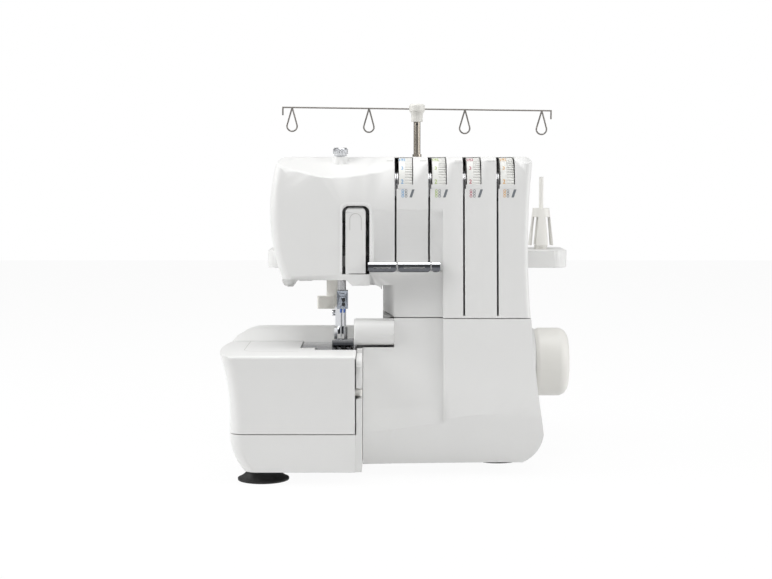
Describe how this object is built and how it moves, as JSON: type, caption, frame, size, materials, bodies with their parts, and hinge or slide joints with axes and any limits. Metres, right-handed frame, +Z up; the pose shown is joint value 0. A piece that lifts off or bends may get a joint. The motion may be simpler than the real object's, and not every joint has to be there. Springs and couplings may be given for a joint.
{
  "type": "overlock sewing machine",
  "caption": "Overlock sewing machine with tension dials, swinging looper door, sliding cloth plate, handwheel and a rear thread stand with telescopic pole.",
  "frame": {"origin": "centre of the bounding box at the underside of the feet", "axes": "+X to the machine's right, towards the handwheel; +Y to its back; +Z up"},
  "size_m": [0.3332, 0.28, 0.343],
  "materials": {
    "shell_white": "satin moulded plastic",
    "trim_cream": "satin moulded plastic, slightly cream",
    "dial_white": "satin moulded plastic with printed numbers",
    "lamp_clear": "milky lens",
    "polished_steel": "bright plated steel",
    "bar_steel": "ground steel",
    "clamp_grey": "blued grey steel",
    "screw_black": "blackened steel",
    "frame_metal": "as cast",
    "pole_steel": "drawn steel tube, brownish",
    "wire_dark": "dark drawn wire",
    "holder_plastic": "moulded plastic",
    "motor_paint": "painted",
    "pulley_black": "moulded",
    "black_plastic": "moulded",
    "black_rubber": "matt rubber"
  },
  "bodies": {
    "machine": {"bar_bushes": "bar_steel", "base_pan": "shell_white", "bed_rear_cover": "shell_white", "case_screws": "bar_steel", "cone_holders": "trim_cream", "drive_belt": "black_rubber", "drive_motor": "motor_paint", "frame_casting": "frame_metal", "front_cover": "shell_white", "knife_guard": "shell_white", "lamp_lens": "lamp_clear", "looper_pins": "bar_steel", "lower_knife": "bar_steel", "needle_plate": "polished_steel", "pole_outer_tube": "pole_steel", "power_inlet": "black_plastic", "rear_cover": "shell_white", "shaft_bushes": "bar_steel", "spool_pins": "trim_cream", "spool_tray": "shell_white", "stand_bracket": "bar_steel", "suction_feet": "black_rubber", "take_up_cover": "shell_white", "tension_discs": "bar_steel", "tension_shaft": "bar_steel", "thread_guides": "polished_steel"},
    "drive_shaft": {"handwheel": "trim_cream", "main_shaft": "bar_steel", "shaft_pulley": "pulley_black"},
    "motor_rotor": {"motor_pulley": "pulley_black"},
    "needle_drive": {"needle_bar": "bar_steel", "needle_clamp": "clamp_grey", "needles": "bar_steel", "clamp_screws": "screw_black"},
    "lower_looper": {"lower_looper": "bar_steel"},
    "upper_looper": {"upper_looper": "bar_steel"},
    "upper_knife": {"upper_knife": "bar_steel"},
    "feed_dogs": {"feed_dogs": "bar_steel"},
    "presser_lifter": {"presser_lifter": "trim_cream"},
    "presser_bar": {"presser_bar": "bar_steel", "presser_shank": "polished_steel", "shank_screw": "polished_steel"},
    "presser_foot": {"presser_foot": "polished_steel"},
    "pressure_screw": {"pressure_screw": "polished_steel"},
    "cloth_plate": {"cloth_plate": "shell_white"},
    "plate_latch": {"plate_latch": "trim_cream"},
    "door_rod": {"door_hinge_rod": "bar_steel"},
    "looper_door": {"looper_door": "shell_white"},
    "tension_dial_1": {"tension_dial_1": "dial_white"},
    "tension_dial_2": {"tension_dial_2": "dial_white"},
    "tension_dial_3": {"tension_dial_3": "dial_white"},
    "tension_dial_4": {"tension_dial_4": "dial_white"},
    "stitch_length_dial": {"stitch_length_dial": "trim_cream"},
    "differential_dial": {"differential_dial": "trim_cream"},
    "power_switch": {"power_switch": "black_plastic"},
    "pole_inner": {"pole_inner_tube": "pole_steel"},
    "thread_guide": {"guide_holder": "holder_plastic", "guide_wire": "wire_dark"}
  },
  "joints": [
    {"name": "handwheel_spin", "type": "hinge", "parent": "machine", "child": "drive_shaft", "pos_m": [0, 0.01, 0.09], "axis": [1, 0, 0], "continuous": true},
    {"name": "motor_spin", "type": "hinge", "parent": "machine", "child": "motor_rotor", "pos_m": [0, 0.017, 0.052], "axis": [1, 0, 0], "continuous": true},
    {"name": "needle_stroke", "type": "slide", "parent": "machine", "child": "needle_drive", "axis": [0, 0, -1], "range_m": [0, 0.022]},
    {"name": "lower_looper_swing", "type": "hinge", "parent": "machine", "child": "lower_looper", "pos_m": [-0.03, 0, 0.06], "axis": [0, 1, 0], "range_deg": [0, 8]},
    {"name": "upper_looper_swing", "type": "hinge", "parent": "machine", "child": "upper_looper", "pos_m": [-0.023, 0, 0.084], "axis": [0, 1, 0], "range_deg": [0, 8]},
    {"name": "upper_knife_stroke", "type": "slide", "parent": "machine", "child": "upper_knife", "axis": [0, 0, -1], "range_m": [0, 0.008]},
    {"name": "feed_travel", "type": "slide", "parent": "machine", "child": "feed_dogs", "axis": [0, 1, 0], "range_m": [0, 0.00175]},
    {"name": "lifter_turn", "type": "hinge", "parent": "machine", "child": "presser_lifter", "pos_m": [-0.07, 0, 0.186], "axis": [0, 1, 0], "range_deg": [0, 60]},
    {"name": "presser_travel", "type": "slide", "parent": "machine", "child": "presser_bar", "axis": [0, 0, 1], "range_m": [0, 0.005]},
    {"name": "foot_tilt", "type": "hinge", "parent": "presser_bar", "child": "presser_foot", "pos_m": [-0.0585, -0.044, 0.1265], "axis": [1, 0, 0], "range_deg": [-2.5, 0.7]},
    {"name": "pressure_turn", "type": "hinge", "parent": "machine", "child": "pressure_screw", "pos_m": [-0.0585, -0.042, 0.297], "axis": [0, 0, 1], "continuous": true},
    {"name": "cloth_plate_travel", "type": "slide", "parent": "machine", "child": "cloth_plate", "axis": [-1, 0, 0], "range_m": [0, 0.02]},
    {"name": "latch_travel", "type": "slide", "parent": "cloth_plate", "child": "plate_latch", "axis": [0, 1, 0], "range_m": [0, 0.003], "stiffness_N_per_m": 150},
    {"name": "door_travel", "type": "slide", "parent": "machine", "child": "door_rod", "axis": [1, 0, 0], "range_m": [0, 0.008]},
    {"name": "door_swing", "type": "hinge", "parent": "door_rod", "child": "looper_door", "pos_m": [0, -0.088, 0.02], "axis": [1, 0, 0], "range_deg": [0, 80]},
    {"name": "tension_turn_1", "type": "hinge", "parent": "machine", "child": "tension_dial_1", "pos_m": [-0.0045, -0.0515, 0.2615], "axis": [1, 0, 0], "range_deg": [-120, 150]},
    {"name": "tension_turn_2", "type": "hinge", "parent": "machine", "child": "tension_dial_2", "pos_m": [0.026, -0.0515, 0.2615], "axis": [1, 0, 0], "range_deg": [-120, 150]},
    {"name": "tension_turn_3", "type": "hinge", "parent": "machine", "child": "tension_dial_3", "pos_m": [0.0575, -0.0515, 0.2615], "axis": [1, 0, 0], "range_deg": [-120, 150]},
    {"name": "tension_turn_4", "type": "hinge", "parent": "machine", "child": "tension_dial_4", "pos_m": [0.088, -0.0515, 0.2615], "axis": [1, 0, 0], "range_deg": [-120, 150]},
    {"name": "stitch_length_turn", "type": "hinge", "parent": "machine", "child": "stitch_length_dial", "pos_m": [0, -0.055, 0.114], "axis": [1, 0, 0], "range_deg": [-60, 150]},
    {"name": "differential_turn", "type": "hinge", "parent": "machine", "child": "differential_dial", "pos_m": [0, -0.055, 0.076], "axis": [1, 0, 0], "range_deg": [-60, 150]},
    {"name": "switch_rock", "type": "hinge", "parent": "machine", "child": "power_switch", "pos_m": [0.1246, -0.053, 0], "axis": [0, 0, 1], "range_deg": [-7, 7]},
    {"name": "pole_travel", "type": "slide", "parent": "machine", "child": "pole_inner", "axis": [0, 0, 1], "range_m": [0, 0.11]},
    {"name": "guide_turn", "type": "hinge", "parent": "pole_inner", "child": "thread_guide", "pos_m": [0.0155, 0.1, 0.325], "axis": [0, 0, 1], "range_deg": [-90, 90]}
  ],
  "couplings": [
    {"joint": "motor_spin", "follows": "handwheel_spin", "ratio": 3},
    {"joint": "lower_looper_swing", "follows": "needle_stroke", "rad_per_m": 6.3403},
    {"joint": "upper_looper_swing", "follows": "needle_stroke", "rad_per_m": 6.3403},
    {"joint": "upper_knife_stroke", "follows": "needle_stroke", "ratio": 0.3635},
    {"joint": "feed_travel", "follows": "needle_stroke", "ratio": 0.0794},
    {"joint": "presser_travel", "follows": "lifter_turn", "m_per_rad": 0.004774}
  ]
}
